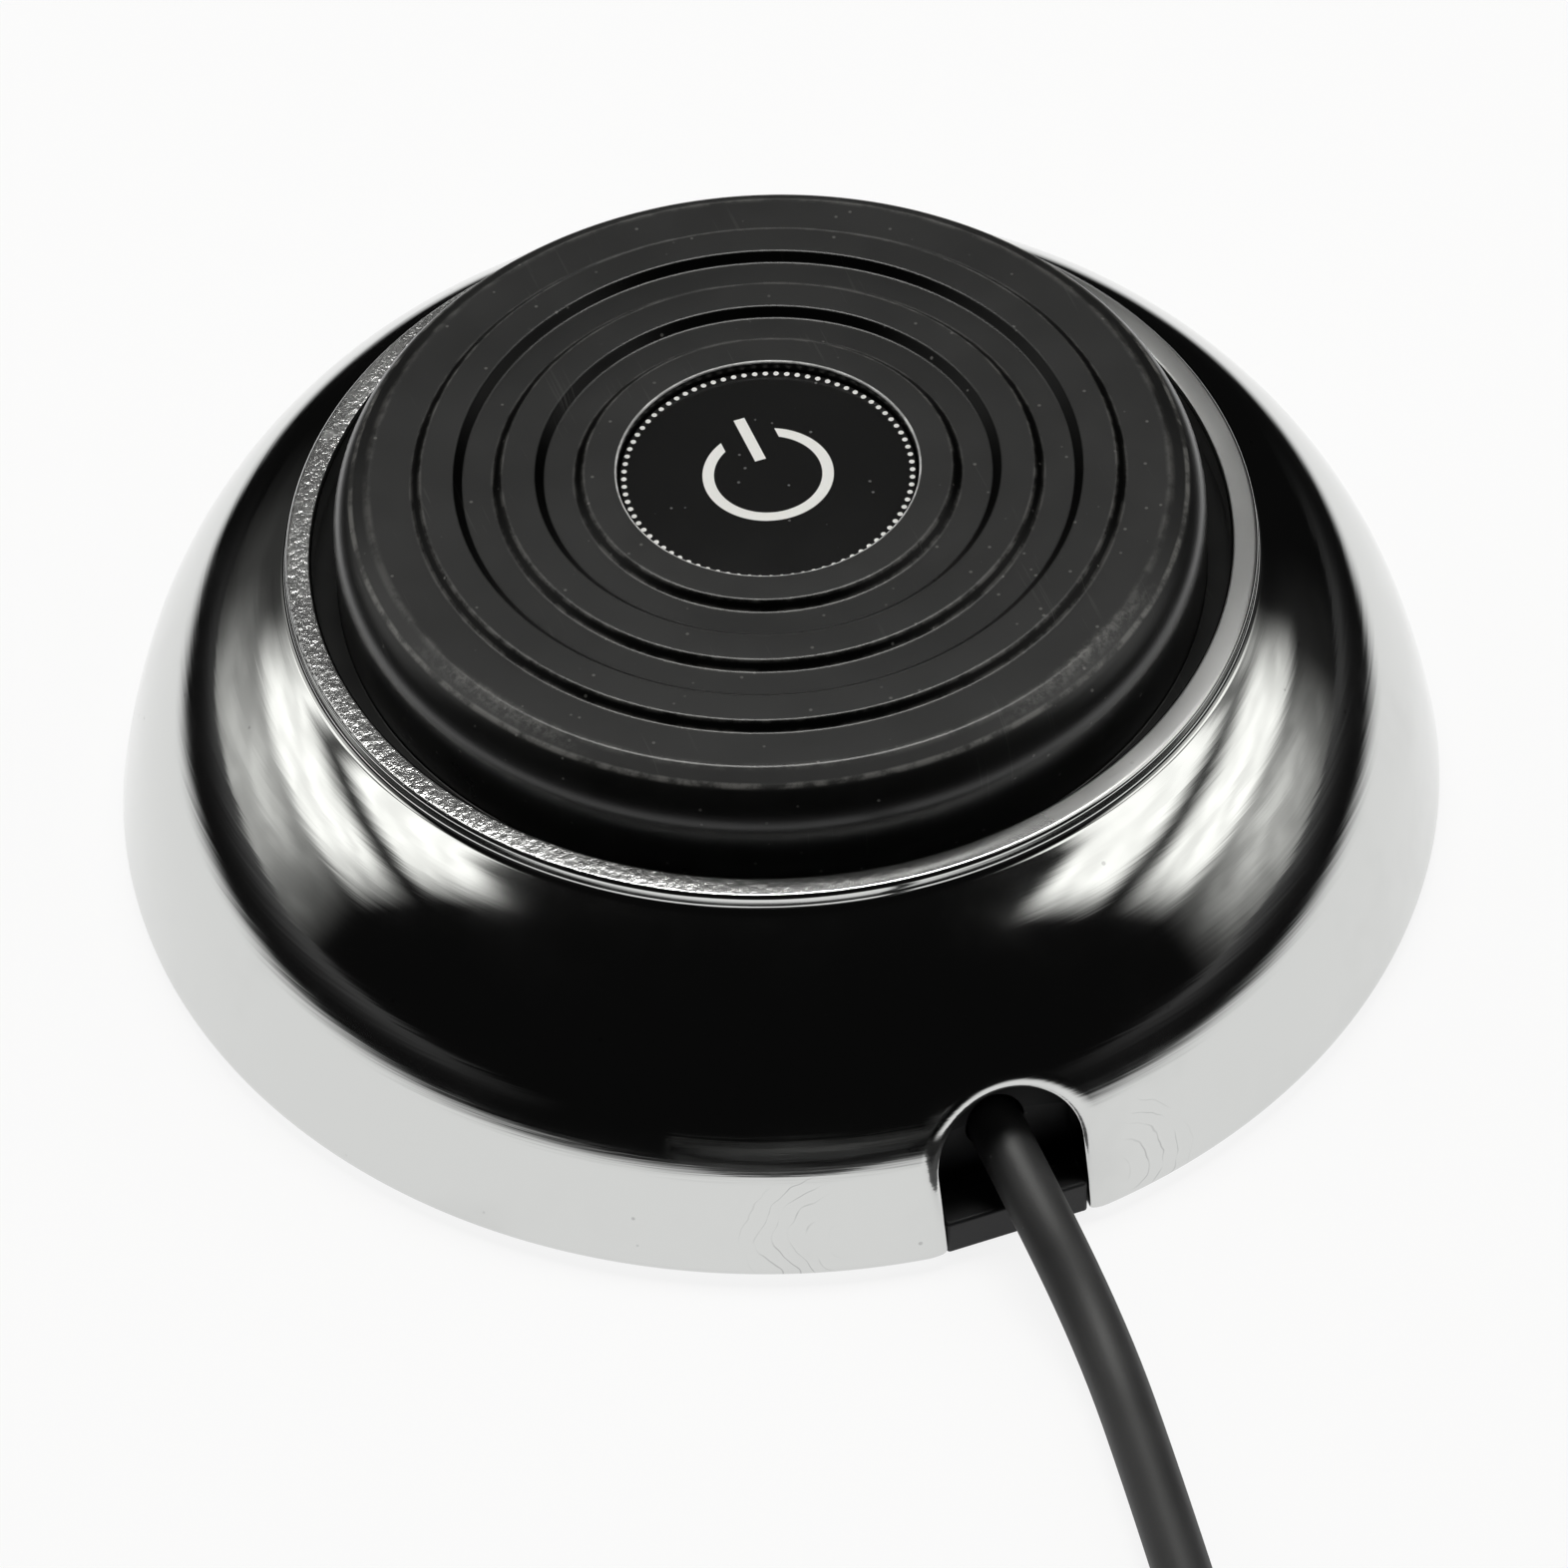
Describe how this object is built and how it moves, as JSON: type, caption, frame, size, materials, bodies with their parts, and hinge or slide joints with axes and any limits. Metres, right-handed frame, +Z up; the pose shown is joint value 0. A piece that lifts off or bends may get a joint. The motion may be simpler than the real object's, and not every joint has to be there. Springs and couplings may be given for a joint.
{
  "type": "foot switch",
  "caption": "Round foot switch: a domed chrome body holds a sprung black treadle with raised rings that works a snap-action switch inside, on a thin lead with a jack plug.",
  "frame": {"origin": "centre of the rubber pad's underside, on the floor", "axes": "+Z up, -Y towards the outlet of the lead"},
  "size_m": [0.1233, 0.2317, 0.0333],
  "materials": {
    "chrome": "bright plate, faint polishing waves",
    "black_plastic": "satin moulded",
    "treadle_plastic": "satin, fine scuffs",
    "label_film": "gloss film with a silver border",
    "pad_rubber": "matt",
    "steel": "zinc plated",
    "spring_steel": "bright",
    "switch_plastic": "satin",
    "plunger_plastic": "smooth",
    "lug_brass": "tinned",
    "wire_red": "smooth",
    "wire_white": "smooth",
    "cord_jacket": "satin",
    "tie_fabric": "woven",
    "plug_plastic": "satin moulded",
    "plug_metal": "nickel plated"
  },
  "bodies": {
    "base": {"chrome_body": "chrome", "base_plate": "black_plastic", "floor_pad": "pad_rubber", "base_screws": "steel", "return_spring_1": "spring_steel", "return_spring_2": "spring_steel", "return_spring_3": "spring_steel", "switch_case": "switch_plastic", "switch_cover": "switch_plastic", "terminal_common": "lug_brass", "terminal_open": "lug_brass", "terminal_closed": "lug_brass", "switch_screws": "steel", "cord_clamp": "black_plastic", "clamp_screws": "steel", "wire_common": "wire_red", "wire_open": "wire_white", "cord_lead": "cord_jacket", "cord_coil": "cord_jacket", "cord_tail": "cord_jacket", "coil_tie": "tie_fabric", "plug_handle": "plug_plastic", "plug_sleeve": "plug_metal", "plug_insulator": "plug_plastic", "plug_tip": "plug_metal"},
    "treadle": {"treadle": "treadle_plastic", "label_disc": "label_film"},
    "lever": {"switch_lever": "spring_steel"},
    "plunger": {"switch_plunger": "plunger_plastic"}
  },
  "joints": [
    {"name": "treadle_press", "type": "slide", "parent": "base", "child": "treadle", "axis": [0, 0, -1], "range_m": [0, 0.0025], "stiffness_N_per_m": 1800, "springref_m": -0.003, "deforming": ["return_spring_1", "return_spring_2", "return_spring_3"]},
    {"name": "lever_swing", "type": "hinge", "parent": "base", "child": "lever", "pos_m": [-0.014, 0, 0.021], "axis": [0, 1, 0], "range_deg": [0, 11]},
    {"name": "plunger_press", "type": "slide", "parent": "base", "child": "plunger", "axis": [0, 0, -1], "range_m": [0, 0.001]}
  ],
  "couplings": [
    {"joint": "lever_swing", "follows": "treadle_press", "rad_per_m": 73},
    {"joint": "plunger_press", "follows": "treadle_press", "ratio": 0.37}
  ]
}
